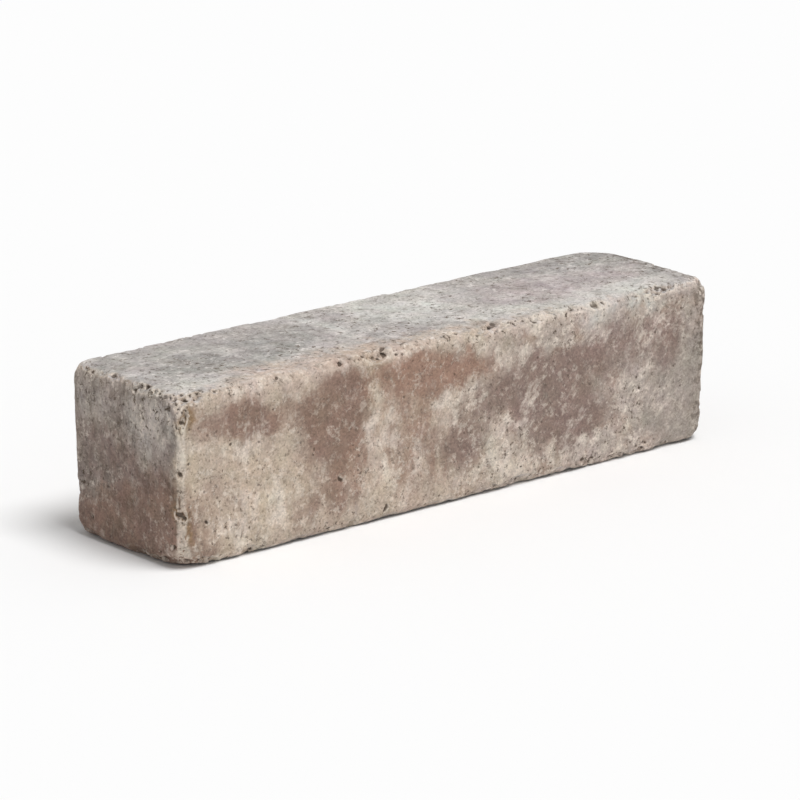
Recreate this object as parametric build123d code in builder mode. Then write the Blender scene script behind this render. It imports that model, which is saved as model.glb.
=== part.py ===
# Tumbled concrete wall block: one solid piece, lying on its bed as it would in a wall.
#
# Frame, in millimetres: the origin is the middle of the bed, +X runs along the length,
# +Y from the face to the back, and +Z up.
import os

from build123d import *

# Moulded size
length = 600.0
depth = 150.0
height = 150.0

# Rounding that the tumbling drum leaves on every worn edge
wear_radius = 6.5

# Ball that each corner is worn to, as a multiple of the ring through the three ends of what it has lost,
# and how far past those ends the ball still cuts
ball_share = 3.0
ball_reach = 1.2

# Sides of the block, as directions along X, Y and Z. In the name of an arris, 0 is the way that it runs.
left, right = -1, 1
front, back = -1, 1
bottom, top = -1, 1

# Worn flats along the twelve arrises: how far each is set back from the sharp edge,
# at the low end and at the high end of its run
arris_wear = {
    (0, front, top): (5.4, 4.8),
    (0, back, top): (5.0, 7.0),
    (0, front, bottom): (5.6, 4.8),
    (0, back, bottom): (5.2, 6.2),
    (left, 0, top): (4.8, 6.0),
    (right, 0, top): (6.4, 8.5),
    (left, 0, bottom): (6.2, 5.0),
    (right, 0, bottom): (5.2, 5.8),
    (left, front, 0): (5.6, 4.6),
    (left, back, 0): (10.0, 6.4),
    (right, front, 0): (11.0, 5.8),
    (right, back, 0): (6.0, 8.0),
}

# Corners knocked round in the drum: how much each has lost along X, Y and Z
corner_wear = {
    (left, front, top): (20.0, 18.0, 17.0),
    (left, back, top): (18.0, 22.0, 24.0),
    (right, front, top): (24.0, 23.0, 22.0),
    (right, back, top): (46.0, 52.0, 30.0),
    (left, front, bottom): (50.0, 40.0, 24.0),
    (left, back, bottom): (24.0, 25.0, 29.0),
    (right, front, bottom): (25.0, 27.0, 31.0),
    (right, back, bottom): (30.0, 26.0, 24.0),
}

# Chips broken out of the arrises: the arris, the end that the place is measured from and how far it is,
# the scoop's radius, the depth of the bite, and the scoop's lean about the arris, in degrees
chips = [
    ((0, front, top), left, 22.0, 11.0, 3.4, 10.0),
    ((0, front, top), left, 104.0, 24.0, 2.0, -6.0),
    ((0, front, top), left, 212.0, 21.0, 3.2, 12.0),
    ((0, front, top), right, 264.0, 70.0, 1.6, -8.0),
    ((0, front, top), right, 206.0, 11.0, 2.6, 0.0),
    ((0, front, top), right, 136.0, 17.0, 2.2, 8.0),
    ((0, front, top), right, 62.0, 40.0, 2.0, -8.0),
    ((0, front, bottom), left, 74.0, 15.0, 3.2, -10.0),
    ((0, front, bottom), left, 186.0, 8.0, 3.4, -16.0),
    ((0, front, bottom), right, 224.0, 44.0, 3.4, -8.0),
    ((0, front, bottom), right, 180.0, 12.0, 2.8, -8.0),
    ((0, front, bottom), right, 112.0, 17.0, 2.4, -6.0),
    ((0, front, bottom), right, 50.0, 36.0, 3.4, -12.0),
    ((left, front, 0), bottom, 47.0, 12.0, 2.8, 8.0),
    ((left, front, 0), top, 21.0, 11.0, 3.0, 10.0),
    ((left, 0, top), front, 47.0, 11.0, 3.2, -8.0),
    ((left, 0, top), back, 38.0, 34.0, 2.0, 8.0),
    ((left, 0, bottom), front, 60.0, 30.0, 2.6, 10.0),
    ((left, 0, bottom), back, 28.0, 12.0, 3.0, 8.0),
    ((left, back, 0), bottom, 38.0, 22.0, 2.4, 8.0),
    ((right, front, 0), bottom, 58.0, 40.0, 2.2, 10.0),
    ((right, 0, top), front, 58.0, 26.0, 2.8, 8.0),
    ((right, 0, bottom), back, 61.0, 20.0, 3.0, 0.0),
    ((0, back, top), left, 206.0, 46.0, 2.4, 10.0),
    ((0, back, top), right, 188.0, 14.0, 2.8, -8.0),
    ((0, back, bottom), left, 142.0, 22.0, 3.2, 10.0),
    ((0, back, bottom), right, 236.0, 60.0, 2.2, -8.0),
    ((right, back, 0), top, 63.0, 28.0, 2.8, 8.0),
]

block_centre = Vector(0, 0, height / 2)
half_size = Vector(length / 2, depth / 2, height / 2)
axes = (Axis.X, Axis.Y, Axis.Z)


def sharp_corner(sides):
    return block_centre + Vector(*(side * half for side, half in zip(sides, half_size)))


def end_of(arris, end):
    return sharp_corner([side or end for side in arris])


def faces_of(arris):
    return [axis for axis, side in enumerate(arris) if side]


def inward(point, sides, axis, distance):
    return point - axes[axis].direction * sides[axis] * distance


def outward_normal(first, second, third, sides):
    normal = (second - first).cross(third - first).normalized()
    return normal if normal.dot(Vector(*sides)) > 0 else -normal


def arris_plane(arris, low_wear, high_wear):
    first_face, second_face = faces_of(arris)
    low, high = end_of(arris, -1), end_of(arris, 1)
    first = inward(low, arris, first_face, low_wear)
    second = inward(low, arris, second_face, low_wear)
    third = inward(high, arris, first_face, high_wear)
    return Plane(origin=first, z_dir=outward_normal(first, second, third, arris))


def corner_offcut(sides, losses):
    corner = sharp_corner(sides)
    ends = [inward(corner, sides, axis, loss) for axis, loss in enumerate(losses)]
    ring = Edge.make_three_point_arc(*ends)
    ball_radius = ring.radius * ball_share
    ball_depth = (ball_radius**2 - ring.radius**2) ** 0.5
    ball_centre = ring.arc_center - outward_normal(*ends, sides) * ball_depth
    with BuildPart() as offcut:
        with Locations(corner):
            Box(*(2 * ball_reach * loss for loss in losses))
        with Locations(ball_centre):
            Sphere(ball_radius, mode=Mode.SUBTRACT)
    return offcut.part


def scoop_centre(arris, end, distance, radius, bite, lean):
    run = end_of(arris, -end) - end_of(arris, end)
    share = distance / run.length
    near_wear, far_wear = arris_wear[arris][:: -end]
    half_wear = (near_wear + (far_wear - near_wear) * share) / 2
    on_flat = end_of(arris, end) + run * share
    for axis in faces_of(arris):
        on_flat = inward(on_flat, arris, axis, half_wear)
    outward = Vector(*arris).normalized().rotate(axes[arris.index(0)], lean)
    return on_flat + outward * (radius - bite)


with BuildPart() as wall_block:
    Box(length, depth, height, align=(Align.CENTER, Align.CENTER, Align.MIN))
    for arris, (low_wear, high_wear) in arris_wear.items():
        split(bisect_by=arris_plane(arris, low_wear, high_wear), keep=Keep.BOTTOM)
    for sides, losses in corner_wear.items():
        add(corner_offcut(sides, losses), mode=Mode.SUBTRACT)
    fillet(wall_block.edges(), radius=wear_radius)
    for arris, end, distance, radius, bite, lean in chips:
        with Locations(scoop_centre(arris, end, distance, radius, bite, lean)):
            Sphere(radius, mode=Mode.SUBTRACT)
wall_block.part.label = "wall_block"

os.makedirs("parts", exist_ok=True)
export_step(wall_block.part, "parts/wall_block.step")
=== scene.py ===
import math

import bpy
import numpy as np
from mathutils import Matrix, Vector, kdtree


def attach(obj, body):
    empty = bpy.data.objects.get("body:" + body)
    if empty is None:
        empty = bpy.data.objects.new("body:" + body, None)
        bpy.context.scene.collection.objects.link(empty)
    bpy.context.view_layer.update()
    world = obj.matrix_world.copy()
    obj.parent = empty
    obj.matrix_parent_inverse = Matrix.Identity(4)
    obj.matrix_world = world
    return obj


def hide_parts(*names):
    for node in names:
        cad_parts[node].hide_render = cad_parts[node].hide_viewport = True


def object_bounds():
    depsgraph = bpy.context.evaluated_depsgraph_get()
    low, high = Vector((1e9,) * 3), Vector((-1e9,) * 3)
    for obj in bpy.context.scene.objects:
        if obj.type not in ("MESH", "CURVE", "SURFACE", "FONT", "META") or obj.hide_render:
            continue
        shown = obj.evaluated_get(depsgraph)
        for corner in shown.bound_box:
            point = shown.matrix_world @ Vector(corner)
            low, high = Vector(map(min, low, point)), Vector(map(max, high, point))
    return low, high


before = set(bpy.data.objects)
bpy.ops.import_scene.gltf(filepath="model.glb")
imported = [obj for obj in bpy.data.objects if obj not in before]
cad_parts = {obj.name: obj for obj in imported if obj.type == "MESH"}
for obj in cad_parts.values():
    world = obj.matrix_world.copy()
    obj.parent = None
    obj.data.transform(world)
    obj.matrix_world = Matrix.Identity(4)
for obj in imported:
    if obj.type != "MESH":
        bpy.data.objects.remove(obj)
cadLow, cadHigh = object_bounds()
blockCentre = (cadLow + cadHigh) / 2
blockHalf = (cadHigh - cadLow) / 2
print("frame loaded, block measures", [round(side * 2, 4) for side in blockHalf])


# Relief of the block, carved into a fine mesh of the CAD shape. Sizes and depths are in metres

blockRelief = {
    "voxel": 0.0010,  # grid that the CAD shape is first remeshed to
    "triangles": 190000,  # what is left after the flat stretches are thinned out
    "cornerReach": 0.075,  # how far from a corner the shape is worn smoother
    "cornerRounds": 70,  # rounds of that smoothing
    "arrisBand": 0.015,  # how far wear reaches in from an arris
    "waverSize": 0.040,  # slow waver of the worn arrises
    "waverRange": (-0.15, 0.62),  # noise that gives none of it and all of it
    "waverDepth": 0.0012,
    "crumbleSize": 0.0090,  # crumbled bites along the arrises
    "crumbleRange": (0.02, 0.36),
    "crumbleDepth": 0.0030,
    "leastCrumbled": 0.22,  # share of that crumbling on the soundest arrises
    "pitRagged": 0.0048,  # unevenness of the pits' outlines
    "pitShrink": (0.55, 1.15, 1.25),  # how far it draws them in: at least, on the whole and spread
    "pitReach": 1.5,  # how many radii a pit can reach
    "pitSqueeze": (0.3, 1.6),  # how much a pit is squeezed in one direction
    "lumpSize": 0.0120,  # uneven skin of the faces
    "lumpDepth": 0.00034,
    "grainSize": 0.0042,  # sand that stands out of the skin
    "grainDepth": 0.00020,
    "hollowDepth": 0.0011,  # how far below its surroundings a point counts as fully hollow
    "ridgeHeight": 0.0013,  # how far above them it counts as a full ridge
    "spread": 34,  # rounds of smoothing that give those surroundings
    "seed": 41,
}

# Pits: tries over the whole block, radius from and to, depth as a share of the radius,
# and the chance that a try becomes a pit, on the faces and on the roughest arrises
pitKinds = [
    {"tries": 14000, "radius": (0.0010, 0.0020), "depth": 0.70, "faces": 0.030, "rough": 0.30},
    {"tries": 5000, "radius": (0.0022, 0.0045), "depth": 0.60, "faces": 0.001, "rough": 0.30},
    {"tries": 2600, "radius": (0.0045, 0.0080), "depth": 0.45, "faces": 0.0, "rough": 0.26},
    {"tries": 700, "radius": (0.0080, 0.0150), "depth": 0.07, "faces": 0.25, "rough": 0.35},
]

# Most crumbled stretches of the arrises: middle and reach in millimetres, and how rough
roughStretches = [
    ((-300, -45, 150), 45, 1.0),
    ((-300, 30, 150), 45, 0.6),
    ((-282, -75, 150), 32, 1.0),
    ((-205, -75, 150), 45, 0.6),
    ((-90, -75, 150), 55, 0.75),
    ((60, -75, 150), 45, 0.6),
    ((150, -75, 150), 60, 0.8),
    ((240, -75, 150), 50, 0.75),
    ((-285, -70, 0), 62, 1.0),
    ((-120, -75, 0), 45, 0.7),
    ((70, -75, 0), 60, 0.8),
    ((195, -75, 0), 80, 0.8),
    ((-255, -75, 4), 40, 1.3),
    ((-300, -45, 4), 45, 1.3),
    ((300, -75, 40), 60, 1.2),
    ((300, -75, 105), 60, 1.2),
    ((290, -75, 142), 32, 1.3),
    ((-300, -75, 129), 16, 1.0),
    ((-300, -75, 48), 20, 0.6),
    ((-300, 75, 30), 45, 0.6),
    ((300, 0, 150), 70, 0.7),
    ((300, 20, 0), 70, 0.7),
    ((300, 75, 80), 70, 0.8),
    ((-150, 75, 150), 70, 0.7),
    ((130, 75, 150), 70, 0.7),
    ((0, 75, 0), 110, 0.6),
]

# Lattice of the noise, turned so that nothing lines up with the faces
latticeTurn = np.array(Matrix.Rotation(0.6, 3, Vector((1, 2, 3))))


def smoothStep(low, high, value):
    share = np.clip((value - low) / (high - low), 0, 1)
    return share * share * (3 - 2 * share)


def randomAt(cell, seed):
    # the same random number for a lattice cell wherever it is asked for
    table = np.random.default_rng(seed).random(65536)
    mixed = (cell[:, 0] * 73856093) ^ (cell[:, 1] * 19349663) ^ (cell[:, 2] * 83492791)
    return table[(mixed ^ (mixed >> 15)) & 65535]


def softNoise(points, size, seed):
    # smooth lattice noise from -1 to 1
    scaled = points @ latticeTurn / size
    cell = np.floor(scaled).astype(np.int64)
    share = scaled - cell
    share = share ** 3 * (share * (share * 6 - 15) + 10)
    total = np.zeros(len(points))
    for corner in np.ndindex(2, 2, 2):
        weight = np.prod(np.where(corner, share, 1 - share), axis=1)
        total += weight * randomAt(cell + corner, seed)
    return total * 2 - 1


def roughNoise(points, size, seed, octaves=3):
    total = np.zeros(len(points))
    for octave in range(octaves):
        total += softNoise(points, size / 2 ** octave, seed + octave) / 2 ** octave
    return total / (2 - 2 ** (1 - octaves))


def arrisCloseness(points):
    # 1 on an arris and 0 further than the band from every arris
    gaps = np.sort(np.array(blockHalf) - np.abs(points - np.array(blockCentre)), axis=1)
    return 1 - smoothStep(0, blockRelief["arrisBand"], gaps[:, 1])


def cornerCloseness(points):
    # 1 on a corner and 0 further than the reach from every corner
    gaps = np.linalg.norm(np.array(blockHalf) - np.abs(points - np.array(blockCentre)), axis=1)
    return 1 - smoothStep(0.4, 1.0, gaps / blockRelief["cornerReach"])


def roughness(points):
    # how crumbled the block is at each point: 0 on the faces, about 1 on the worst arrises
    rough = np.full(len(points), blockRelief["leastCrumbled"])
    for middle, reach, share in roughStretches:
        away = np.linalg.norm(points * 1000 - np.array(middle), axis=1) / reach
        rough = np.maximum(rough, share * (1 - smoothStep(0.55, 1.0, away)))
    return rough * arrisCloseness(points)


def placesOnBlock(random, count):
    # places spread evenly over the six faces of the moulded block
    half = np.array(blockHalf)
    areas = np.repeat(np.prod(half) / half, 2)
    face = random.choice(6, count, p=areas / areas.sum())
    places = random.uniform(-1, 1, (count, 3))
    places[np.arange(count), face // 2] = face % 2 * 2 - 1
    return places * half + np.array(blockCentre)


def carvePits(points):
    # how deep each point lies in a pit: bowls that are squeezed and ragged
    relief, seed = blockRelief, blockRelief["seed"]
    tree = kdtree.KDTree(len(points))
    for index, point in enumerate(points):
        tree.insert(point, index)
    tree.balance()
    random = np.random.default_rng(seed)
    randomShape = np.random.default_rng(seed + 60)
    least, whole, spread = relief["pitShrink"]
    ragged = np.maximum(least, whole + spread * roughNoise(points, relief["pitRagged"], seed + 50, 2))
    depth = np.zeros(len(points))
    for kind in pitKinds:
        places = placesOnBlock(random, kind["tries"])
        chance = kind["faces"] + (kind["rough"] - kind["faces"]) * roughness(places)
        chosen = random.random(len(places)) < chance
        radii = random.uniform(*kind["radius"], len(places))
        for place, radius in zip(places[chosen], radii[chosen]):
            middle = tree.find(place)[0]
            squeeze = Vector(randomShape.normal(size=3)).normalized()
            squeeze *= randomShape.uniform(*relief["pitSqueeze"])
            for point, index, distance in tree.find_range(middle, radius * relief["pitReach"]):
                away = math.hypot(distance, (point - middle).dot(squeeze)) / radius
                bowl = max(0, 1 - (away * ragged[index]) ** 2)
                depth[index] = max(depth[index], bowl * radius * kind["depth"])
    return depth


def readArray(collection, name, width, kind=np.float32):
    values = np.empty(len(collection) * width, kind)
    collection.foreach_get(name, values)
    return values.reshape(-1, width)


def meshThrough(name, mesh, modifierType, settings):
    # a new mesh that is the old one with one modifier applied
    piece = bpy.data.objects.new(name, mesh)
    bpy.context.scene.collection.objects.link(piece)
    modifier = piece.modifiers.new(name, modifierType)
    for setting, value in settings.items():
        setattr(modifier, setting, value)
    evaluated = piece.evaluated_get(bpy.context.evaluated_depsgraph_get())
    result = bpy.data.meshes.new_from_object(evaluated)
    bpy.data.objects.remove(piece)
    return result


def surroundings(points, edges, rounds):
    # each point drawn towards the middle of its neighbours, round after round
    first, second = edges[:, 0], edges[:, 1]
    count = np.bincount(edges.ravel(), minlength=len(points))[:, None]
    for _ in range(rounds):
        total = np.stack([
            np.bincount(first, points[second, axis], len(points))
            + np.bincount(second, points[first, axis], len(points))
            for axis in range(3)
        ], axis=1)
        points = (points + total / count) / 2
    return points


def heightAbove(points, normals, edges):
    # how far each point stands out of its surroundings
    return np.sum((points - surroundings(points, edges, blockRelief["spread"])) * normals, axis=1)


def carveRelief(mesh):
    relief, seed = blockRelief, blockRelief["seed"]
    points = readArray(mesh.vertices, "co", 3).astype(float)
    normals = readArray(mesh.vertex_normals, "vector", 3).astype(float)
    edges = readArray(mesh.edges, "vertices", 2, np.int32)
    worn = surroundings(points, edges, relief["cornerRounds"])
    points += (worn - points) * cornerCloseness(points)[:, None]
    arris = arrisCloseness(points)
    rough = roughness(points)
    waver = smoothStep(*relief["waverRange"], roughNoise(points, relief["waverSize"], seed)) * arris
    crumble = smoothStep(*relief["crumbleRange"], roughNoise(points, relief["crumbleSize"], seed + 10))
    crumble = crumble * rough * arris
    lumps = roughNoise(points, relief["lumpSize"], seed + 20, 2) * 0.5 + 0.5
    grain = roughNoise(points, relief["grainSize"], seed + 30, 2) * 0.5 + 0.5
    depth = waver * relief["waverDepth"] + crumble * relief["crumbleDepth"]
    depth += lumps * relief["lumpDepth"] + grain * relief["grainDepth"] * (1 + arris)
    pits = carvePits(points)
    points -= normals * depth[:, None]
    # ridges are measured before the pits are cut, or each pit would get a pale rim
    ridge = heightAbove(points, normals, edges) / relief["ridgeHeight"]
    points -= normals * pits[:, None]
    hollow = -heightAbove(points, normals, edges) / relief["hollowDepth"]
    mesh.vertices.foreach_set("co", points.astype(np.float32).ravel())
    mesh.update()
    for name, values in {"hollow": np.clip(hollow, 0, 1), "ridge": np.clip(ridge, 0, 1)}.items():
        attribute = mesh.attributes.new(name, "FLOAT", "POINT")
        attribute.data.foreach_set("value", values.astype(np.float32))


def buildBlock():
    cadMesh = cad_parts["wall_block"].data.copy()
    grid = {"mode": "VOXEL", "voxel_size": blockRelief["voxel"]}
    fine = meshThrough("blockGrid", cadMesh, "REMESH", grid)
    print("block remeshed to", len(fine.polygons), "faces")
    carveRelief(fine)
    share = blockRelief["triangles"] / (2 * len(fine.polygons))
    mesh = meshThrough("blockThinned", fine, "DECIMATE", {"ratio": share})
    mesh.name = "tumbledBlock"
    mesh.polygons.foreach_set("use_smooth", np.ones(len(mesh.polygons), bool))
    print("relief carved, thinned to", len(mesh.polygons), "faces")
    block = bpy.data.objects.new("tumbled_block", mesh)
    bpy.context.scene.collection.objects.link(block)
    return block


# Shader graphs, written as sums of sockets

class Wire:
    def __init__(self, graph, socket):
        self.graph = graph
        self.socket = socket

    def maths(self, operation, *values):
        return self.graph.node("ShaderNodeMath", {"operation": operation}, dict(enumerate(values)))

    def __add__(self, other):
        return self.maths("ADD", self, other)

    def __radd__(self, other):
        return self.maths("ADD", other, self)

    def __sub__(self, other):
        return self.maths("SUBTRACT", self, other)

    def __rsub__(self, other):
        return self.maths("SUBTRACT", other, self)

    def __mul__(self, other):
        return self.maths("MULTIPLY", self, other)

    def __rmul__(self, other):
        return self.maths("MULTIPLY", other, self)

    def larger(self, other):
        return self.maths("MAXIMUM", self, other)


class Graph:
    def __init__(self, tree):
        self.tree = tree
        tree.nodes.clear()

    def node(self, kind, settings, inputs, output=0):
        # a socket is named, or numbered among those that the settings leave in use
        node = self.tree.nodes.new(kind)
        for name, value in settings.items():
            setattr(node, name, value)
        for name, value in inputs.items():
            socket = self.pick(node.inputs, name)
            if isinstance(value, Wire):
                self.tree.links.new(value.socket, socket)
            else:
                socket.default_value = value
        return Wire(self, self.pick(node.outputs, output)) if node.outputs else None

    def pick(self, sockets, name):
        used = [socket for socket in sockets if socket.enabled]
        if isinstance(name, int):
            return used[name]
        return next(socket for socket in used if socket.name == name)

    def vector(self, operation, *values):
        return self.node("ShaderNodeVectorMath", {"operation": operation}, dict(enumerate(values)))

    def axis(self, vector, name):
        return self.node("ShaderNodeSeparateXYZ", {}, {"Vector": vector}, name)

    def noise(self, place, size, detail, roughness, output=0):
        inputs = {"Vector": place, "Scale": 1 / size, "Detail": detail, "Roughness": roughness}
        return self.node("ShaderNodeTexNoise", {"noise_dimensions": "3D"}, inputs, output)

    def cells(self, place, size, output="Distance"):
        inputs = {"Vector": place, "Scale": 1 / size}
        return self.node("ShaderNodeTexVoronoi", {"feature": "F1"}, inputs, output)

    def rise(self, value, low, high):
        inputs = {"Value": value, "From Min": low, "From Max": high, "To Min": 0.0, "To Max": 1.0}
        return self.node("ShaderNodeMapRange", {"interpolation_type": "SMOOTHSTEP"}, inputs)

    def mix(self, share, first, second, blend="MIX"):
        settings = {"data_type": "RGBA", "blend_type": blend, "clamp_factor": True}
        return self.node("ShaderNodeMix", settings, {"Factor": share, "A": first, "B": second})

    def attribute(self, name):
        return self.node("ShaderNodeAttribute", {"attribute_name": name}, {}, "Fac")


def tone(red, green, blue):
    # a colour as it is picked on screen, from 0 to 255, turned to linear light
    def linear(level):
        share = level / 255
        return share / 12.92 if share <= 0.04045 else ((share + 0.055) / 1.055) ** 2.4
    return (linear(red), linear(green), linear(blue), 1.0)


concreteFinish = {
    # ground of the long faces on the left and on the right, haze over it, and ground of the beds and ends
    "beige": tone(187, 171, 155),
    "greige": tone(176, 163, 154),
    "fawn": tone(163, 142, 127),
    "bedGrey": tone(171, 165, 161),
    "endGrey": tone(147, 135, 127),
    # lime bloom on the faces and on the beds, and the pale worn sand and painted highlight of the arrises
    "sand": tone(222, 210, 197),
    "limeGrey": tone(212, 206, 201),
    # clouds of dye
    "straw": tone(189, 172, 154),
    "lichen": tone(160, 150, 141),
    "brown": tone(134, 109, 96),
    "taupe": tone(133, 113, 104),
    "red": tone(150, 120, 104),
    "ochre": tone(140, 114, 84),
    "ash": tone(186, 177, 169),
    "slate": tone(155, 151, 147),
    "chalk": tone(200, 197, 191),
    "mauve": tone(174, 163, 161),
    "blush": tone(192, 174, 160),
    # dark grains, dirt and the painted shade down the right arrises; the bottoms of pores, and of hollows as
    # partly painted shade
    "speck": tone(92, 80, 69),
    "pit": tone(76, 63, 52),
    "roughness": 0.92,
    "specular": 0.25,
    "bump": 0.0009,  # height of the finest grain, in metres
    # sizes of the noises that break the colours up, in metres
    "size": {
        "warp": 0.045,
        "ragged": 0.013,
        "haze": 0.038,
        "stroke": 0.0085,
        "drag": 0.0090,
        "patch": 0.050,
        "crest": 0.075,
        "tint": 0.024,
        "fleck": 0.0078,
        "speck": 0.0056,
        "sandy": 0.070,
        "smudge": 0.0120,
        "stain": 0.0110,
        "rightArrisShade": 0.0075,
        "grain": 0.0016,
        "mottle": 0.018,
        "pore": 0.0075,
        "poreGroup": 0.035,
    },
    # how much of each layer shows at most
    "share": {
        "haze": 0.75,
        "cloud": 0.90,
        "bloom": 0.68,
        "crest": 0.65,
        "fleck": 0.76,
        "smudge": 0.42,
        "stain": 0.34,
        "rightArrisShade": 0.70,
        "pore": 0.60,
        "hollow": 0.82,
    },
}

# Clouds of colour, given by tone: each cloud's middle and half-widths in millimetres, and its strength. Most
# are dye; the two brown ones low on the left end also darken it as painted shade
dyeAndShadeClouds = {
    "straw": [
        ((-225, -75, 52), (75, 50, 54), 0.8),
        ((-290, -77, 80), (17, 30, 70), 0.9),
        ((150, 75, 50), (110, 50, 50), 0.8),
    ],
    "lichen": [
        ((268, -75, 50), (62, 50, 66), 1.2),
        ((300, 0, 75), (60, 90, 90), 0.7),
        ((-40, 75, 110), (90, 50, 40), 0.7),
    ],
    "brown": [
        ((-225, -75, 120), (66, 45, 24), 1.0),
        ((-134, -75, 100), (48, 45, 70), 1.1),
        ((-150, -75, 26), (30, 40, 24), 0.5),
        # these two brown clouds low on the left end are partly the end's own brown and partly painted shade
        # that darkens its lower part
        ((-300, -46, 36), (50, 66, 56), 1.0),
        ((-300, 16, 20), (50, 90, 40), 0.9),
        ((60, 75, 80), (150, 50, 60), 1.1),
        ((-240, 75, 110), (60, 50, 40), 0.9),
        ((300, 10, 90), (50, 70, 55), 0.9),
    ],
    "taupe": [
        ((0, -75, 52), (50, 45, 32), 0.8),
        ((95, -75, 88), (100, 45, 28), 1.05),
        ((130, -75, 46), (66, 45, 38), 1.0),
        ((170, -75, 110), (56, 45, 26), 0.55),
        ((238, -75, 102), (50, 45, 36), 0.65),
        ((-300, 10, 78), (40, 90, 34), 0.65),
    ],
    "red": [
        ((-45, -75, 124), (86, 45, 28), 0.9),
        ((20, -75, 118), (40, 45, 20), 0.4),
        ((-50, -75, 82), (60, 45, 30), 0.5),
        ((-120, -75, 56), (36, 45, 36), 0.5),
        ((-40, -75, 36), (66, 45, 34), 0.4),
        ((-170, 75, 60), (90, 50, 40), 0.9),
    ],
    "ochre": [
        ((-90, -75, 148), (26, 24, 16), 1.0),
        ((-290, -75, 130), (18, 20, 18), 0.9),
        ((-292, -75, 45), (14, 20, 22), 0.7),
    ],
    "ash": [
        ((-300, -36, 120), (40, 40, 34), 0.9),
        ((-300, 40, 122), (40, 44, 30), 0.5),
    ],
    "slate": [
        ((-230, 20, 150), (90, 60, 30), 0.9),
        ((-130, 0, 150), (50, 40, 30), 0.7),
        ((-190, -36, 150), (90, 28, 30), 0.4),
        ((-165, -28, 150), (26, 28, 30), 0.6),
        ((-35, 8, 150), (42, 18, 30), 0.7),
        ((160, 40, 150), (50, 30, 30), 0.5),
        ((250, 50, 150), (100, 50, 30), 0.8),
        ((40, 0, 0), (190, 70, 30), 0.9),
    ],
    "chalk": [
        ((30, 20, 150), (90, 70, 30), 0.9),
        ((-68, 20, 150), (14, 80, 30), 0.7),
        ((-262, -50, 150), (44, 26, 30), 0.7),
        ((110, -48, 150), (90, 28, 30), 0.8),
        ((200, -50, 150), (84, 34, 30), 1.2),
        ((-170, 0, 0), (90, 60, 30), 0.7),
    ],
    "mauve": [
        ((165, -4, 150), (130, 50, 30), 1.0),
    ],
    "blush": [
        ((-88, -75, 62), (13, 40, 56), 0.8),
        ((-150, -74, 150), (170, 48, 20), 0.8),
        ((80, -76, 150), (160, 34, 20), 0.6),
    ],
}


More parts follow.
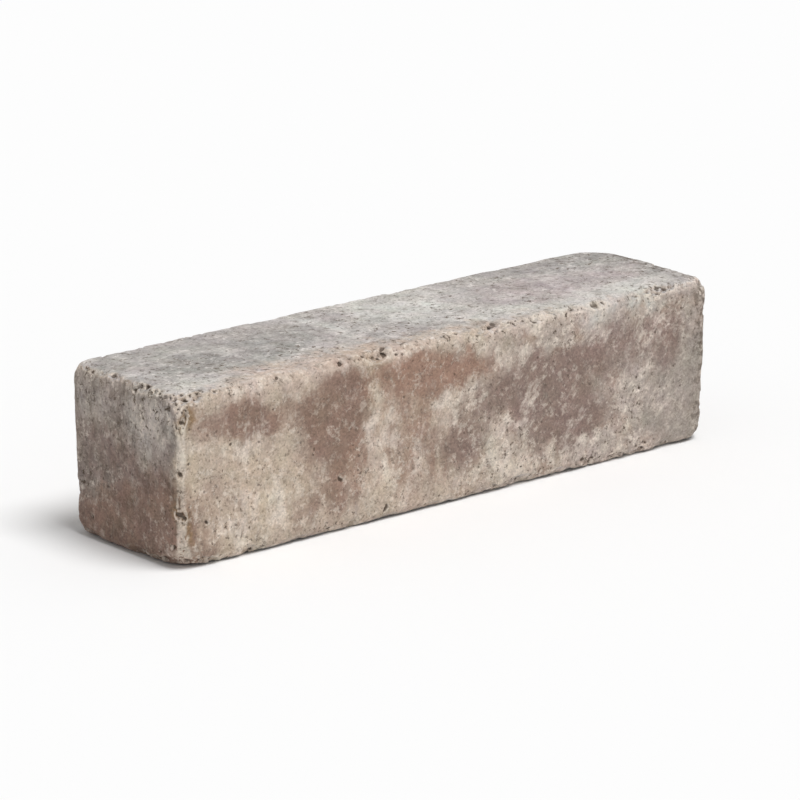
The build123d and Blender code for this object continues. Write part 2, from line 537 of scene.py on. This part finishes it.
def concreteMaterial():
    finish, size, share = concreteFinish, concreteFinish["size"], concreteFinish["share"]
    material = bpy.data.materials.new("tumbledConcrete")
    material.use_nodes = True
    graph = Graph(material.node_tree)
    place = graph.node("ShaderNodeTexCoord", {}, {}, "Object")
    normal = graph.node("ShaderNodeTexCoord", {}, {}, "Normal")
    endward, facing, upward = (graph.axis(normal, name) for name in "XYZ")
    bedShare = graph.rise(upward * upward, 0.30, 0.85)
    endShare = graph.rise(endward * endward, 0.35, 0.85)

    # uneven outlines: the place is shifted by noise, and streaks run down the faces
    shift = graph.vector("SUBTRACT", graph.noise(place, size["warp"], 5, 0.6, "Color"), (0.5, 0.5, 0.5))
    warped = graph.vector("ADD", place, graph.vector("SCALE", shift, 0.06))
    upright = graph.vector("MULTIPLY", place, (1.0, 1.0, 0.40))
    ragged = graph.noise(upright, size["ragged"], 6, 0.7)

    # ground: beige to greige along the long faces, grey on the beds and ends
    along = graph.axis(warped, "X")
    haze = graph.rise(graph.noise(warped, size["haze"], 5, 0.62), 0.44, 0.66)
    colour = graph.mix(graph.rise(along + ragged * 0.2, 0.02, 0.26), finish["beige"], finish["greige"])
    colour = graph.mix(haze * share["haze"], colour, finish["fawn"])
    colour = graph.mix(bedShare, colour, finish["bedGrey"])
    colour = graph.mix(endShare, colour, finish["endGrey"])

    # clouds of colour, tone over tone: dye, and painted shade low on the left end
    covers = {}
    for name, clouds in dyeAndShadeClouds.items():
        cover = None
        for middle, halves, strength in clouds:
            away = graph.vector("SUBTRACT", warped, tuple(value / 1000 for value in middle))
            away = graph.vector("DIVIDE", away, tuple(value / 1000 for value in halves))
            cloud = (1 - graph.rise(graph.vector("LENGTH", away), 0.15, 1.30)) * strength
            cover = cloud if cover is None else cover + cloud
        covers[name] = graph.rise(cover + ragged * 1.3 - 0.65, 0.12, 0.86)
        colour = graph.mix(covers[name] * share["cloud"], colour, finish[name])
    dyeAndShade = covers["brown"].larger(covers["red"]).larger(covers["taupe"]).larger(covers["lichen"])

    # lime bloom: sandy flecks in short strokes, upright on the left, slanting on the right, along the beds
    tilt = {"Vector": place, "Angle": 0.9}
    turned = graph.node("ShaderNodeVectorRotate", {"rotation_type": "Y_AXIS"}, tilt)
    slant = graph.vector("MULTIPLY", turned, (0.45, 1.0, 1.0))
    drag = graph.vector("MULTIPLY", place, (0.35, 1.0, 1.0))
    rightward = graph.rise(along, -0.12, 0.04)
    strokes = graph.noise(slant, size["stroke"], 6, 0.72) * rightward
    strokes = strokes + graph.noise(upright, size["stroke"], 6, 0.72) * (1 - rightward)
    strokes = strokes * (1 - bedShare) + graph.noise(drag, size["drag"], 6, 0.72) * bedShare
    patches = graph.noise(warped, size["patch"], 4, 0.6)
    bloom = graph.rise(strokes * 0.50 + patches * 0.55 - dyeAndShade * 0.06, 0.51, 0.64)
    paleTone = graph.mix(bedShare, finish["sand"], finish["limeGrey"])
    bloomShare = share["bloom"] - bedShare * 0.26 - endShare * 0.42
    colour = graph.mix(bloom * bloomShare, colour, paleTone)

    # pale crests: worn sand and a painted highlight on the ridges of the relief, and along the whole arris
    # at the left of the face
    crest = graph.rise(graph.attribute("ridge") + ragged * 0.7 - 0.35, 0.14, 0.60)
    crest = crest * (0.3 + graph.rise(graph.noise(place, size["crest"], 3, 0.5), 0.36, 0.56) * 0.7)
    # painted highlight along the left-front arris, where it faces the light, in the pale tone of worn sand
    leftArris = graph.rise(0 - endward, 0.15, 0.45) * graph.rise(0 - facing, 0.30, 0.60)
    crest = crest.larger(leftArris * graph.rise(ragged, 0.28, 0.50))
    colour = graph.mix(crest * share["crest"], colour, finish["sand"])

    # sandy skin: slight tints, and pale and dark flecks that are fewer under the clouds of dye and of
    # painted shade
    tint = graph.vector("SCALE", graph.noise(place, size["tint"], 3, 0.6, "Color"), 0.11)
    colour = graph.mix(1.0, colour, graph.vector("ADD", tint, (0.945, 0.945, 0.945)), "MULTIPLY")
    flecks = graph.noise(graph.vector("ADD", place, (0.57, 0.29, 0.41)), size["fleck"], 6, 0.76)
    specks = graph.noise(graph.vector("ADD", place, (0.31, 0.17, 0.23)), size["speck"], 5, 0.78)
    sandy = 0.5 + graph.rise(graph.noise(warped, size["sandy"], 3, 0.5), 0.36, 0.62) * 0.5
    lively = sandy * (1 - dyeAndShade * 0.5)
    colour = graph.mix(graph.rise(flecks, 0.52, 0.62) * lively * share["fleck"], colour, paleTone)
    speckShare = graph.rise(specks, 0.54, 0.64) * lively * (1.05 + endShare * 0.35)
    colour = graph.mix(speckShare, colour, finish["speck"])

    # dirt: smudges on the ends and stains on the beds; painted shade along the arrises at the right, where
    # they turn away from the light
    smudges = graph.rise(graph.noise(slant, size["smudge"], 5, 0.7), 0.50, 0.64) * endShare
    stains = graph.rise(graph.noise(place, size["stain"], 4, 0.65), 0.57, 0.66) * bedShare
    colour = graph.mix(smudges * share["smudge"] + stains * share["stain"], colour, finish["speck"])
    # painted shade: a ragged dark band down the right arrises of the long faces
    rightEdge = graph.rise(graph.axis(place, "X"), 0.268, 0.290)
    rightArrisShade = rightEdge * (1 - endShare) * graph.rise(graph.noise(place, size["rightArrisShade"], 4, 0.65), 0.45, 0.59)
    colour = graph.mix(rightArrisShade * share["rightArrisShade"], colour, finish["speck"])

    # single grains lighter and darker, then fine pores, and the hollows of the relief darkened by how deep
    # they lie, partly as painted shade
    grains = graph.node("ShaderNodeSeparateColor", {}, {"Color": graph.cells(place, size["grain"], "Color")})
    mottle = graph.noise(place, size["mottle"], 4, 0.6) - 0.5
    level = 0.85 + grains * 0.32 + mottle * (0.66 + bedShare * 0.30 + endShare * 0.40)
    shade = graph.node("ShaderNodeCombineColor", {}, {0: level, 1: level, 2: level})
    colour = graph.mix(1.0, colour, shade, "MULTIPLY")
    pores = 1 - graph.rise(graph.cells(place, size["pore"]), 0.10, 0.20)
    pores = pores * graph.rise(graph.noise(place, size["poreGroup"], 3, 0.6), 0.44, 0.60)
    # partly painted shade: the deeper a hollow lies below its surroundings, the more of the pit tone it gets
    hollows = graph.rise(graph.attribute("hollow"), 0.28, 0.90)
    dark = (pores * share["pore"]).larger(hollows * share["hollow"])
    colour = graph.mix(dark, colour, finish["pit"])

    height = grains * 0.22 + flecks - specks * 0.8 - pores * 0.6
    bump = graph.node("ShaderNodeBump", {}, {"Strength": 0.6, "Distance": finish["bump"], "Height": height})
    shader = graph.node("ShaderNodeBsdfPrincipled", {}, {
        "Base Color": colour,
        "Roughness": finish["roughness"] - bloom * 0.08,
        "Normal": bump,
        "Specular IOR Level": finish["specular"],
    })
    graph.node("ShaderNodeOutputMaterial", {}, {"Surface": shader})
    return material


block = buildBlock()
block.data.materials.clear()
block.data.materials.append(concreteMaterial())
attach(block, "root")
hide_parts("wall_block")
print("block dressed")


# Studio

studio = {
    "floorSize": 40.0,
    "floorColour": (0.90, 0.90, 0.90, 1.0),
    "worldLight": 0.40,  # what the surroundings give to the object
    "keyPower": 0.75,
    "keyFrom": (0.17, -0.56, 1.40),
    "keySpread": 30.0,  # degrees across, for soft shadows
}

cameraSet = {
    "azimuth": -40.5,
    "elevation": 16.2,
    "distance": 4.0,
    "lens": 208.0,
}


def makeFloor():
    half = studio["floorSize"] / 2
    mesh = bpy.data.meshes.new("floor")
    corners = [(-half, -half, 0), (half, -half, 0), (half, half, 0), (-half, half, 0)]
    mesh.from_pydata(corners, [], [(0, 1, 2, 3)])
    floor = bpy.data.objects.new("floor", mesh)
    floor.location.z = cadLow.z
    bpy.context.scene.collection.objects.link(floor)
    material = bpy.data.materials.new("paleFloor")
    material.use_nodes = True
    graph = Graph(material.node_tree)
    shader = graph.node("ShaderNodeBsdfPrincipled", {}, {
        "Base Color": studio["floorColour"],
        "Roughness": 0.9,
        "Specular IOR Level": 0.0,
    })
    graph.node("ShaderNodeOutputMaterial", {}, {"Surface": shader})
    mesh.materials.append(material)


def makeWorld():
    world = bpy.data.worlds.new("softSurround")
    bpy.context.scene.world = world
    world.use_nodes = True
    graph = Graph(world.node_tree)
    rays = ("Is Camera Ray", "Is Glossy Ray", "Is Transmission Ray")
    camera, glossy, through = (graph.node("ShaderNodeLightPath", {}, {}, ray) for ray in rays)
    seen = camera.larger(glossy).larger(through)
    strength = studio["worldLight"] + seen * (1 - studio["worldLight"])
    background = graph.node("ShaderNodeBackground", {}, {"Color": (1, 1, 1, 1), "Strength": strength})
    graph.node("ShaderNodeOutputWorld", {}, {"Surface": background})


def makeKey():
    lamp = bpy.data.lights.new("key", "SUN")
    lamp.energy = studio["keyPower"] * math.pi
    lamp.angle = math.radians(studio["keySpread"])
    key = bpy.data.objects.new("key", lamp)
    key.rotation_euler = Vector(studio["keyFrom"]).to_track_quat("Z", "Y").to_euler()
    bpy.context.scene.collection.objects.link(key)


def makeCamera():
    azimuth, elevation = math.radians(cameraSet["azimuth"]), math.radians(cameraSet["elevation"])
    back = Vector((
        math.sin(azimuth) * math.cos(elevation),
        -math.cos(azimuth) * math.cos(elevation),
        math.sin(elevation),
    ))
    lens = bpy.data.cameras.new("camera")
    lens.lens = cameraSet["lens"]
    camera = bpy.data.objects.new("camera", lens)
    camera.location = blockCentre + back * cameraSet["distance"]
    camera.rotation_euler = back.to_track_quat("Z", "Y").to_euler()
    bpy.context.scene.collection.objects.link(camera)
    bpy.context.scene.camera = camera


makeFloor()
makeWorld()
makeKey()
makeCamera()
bpy.context.scene.view_settings.view_transform = "Standard"
print("studio set")
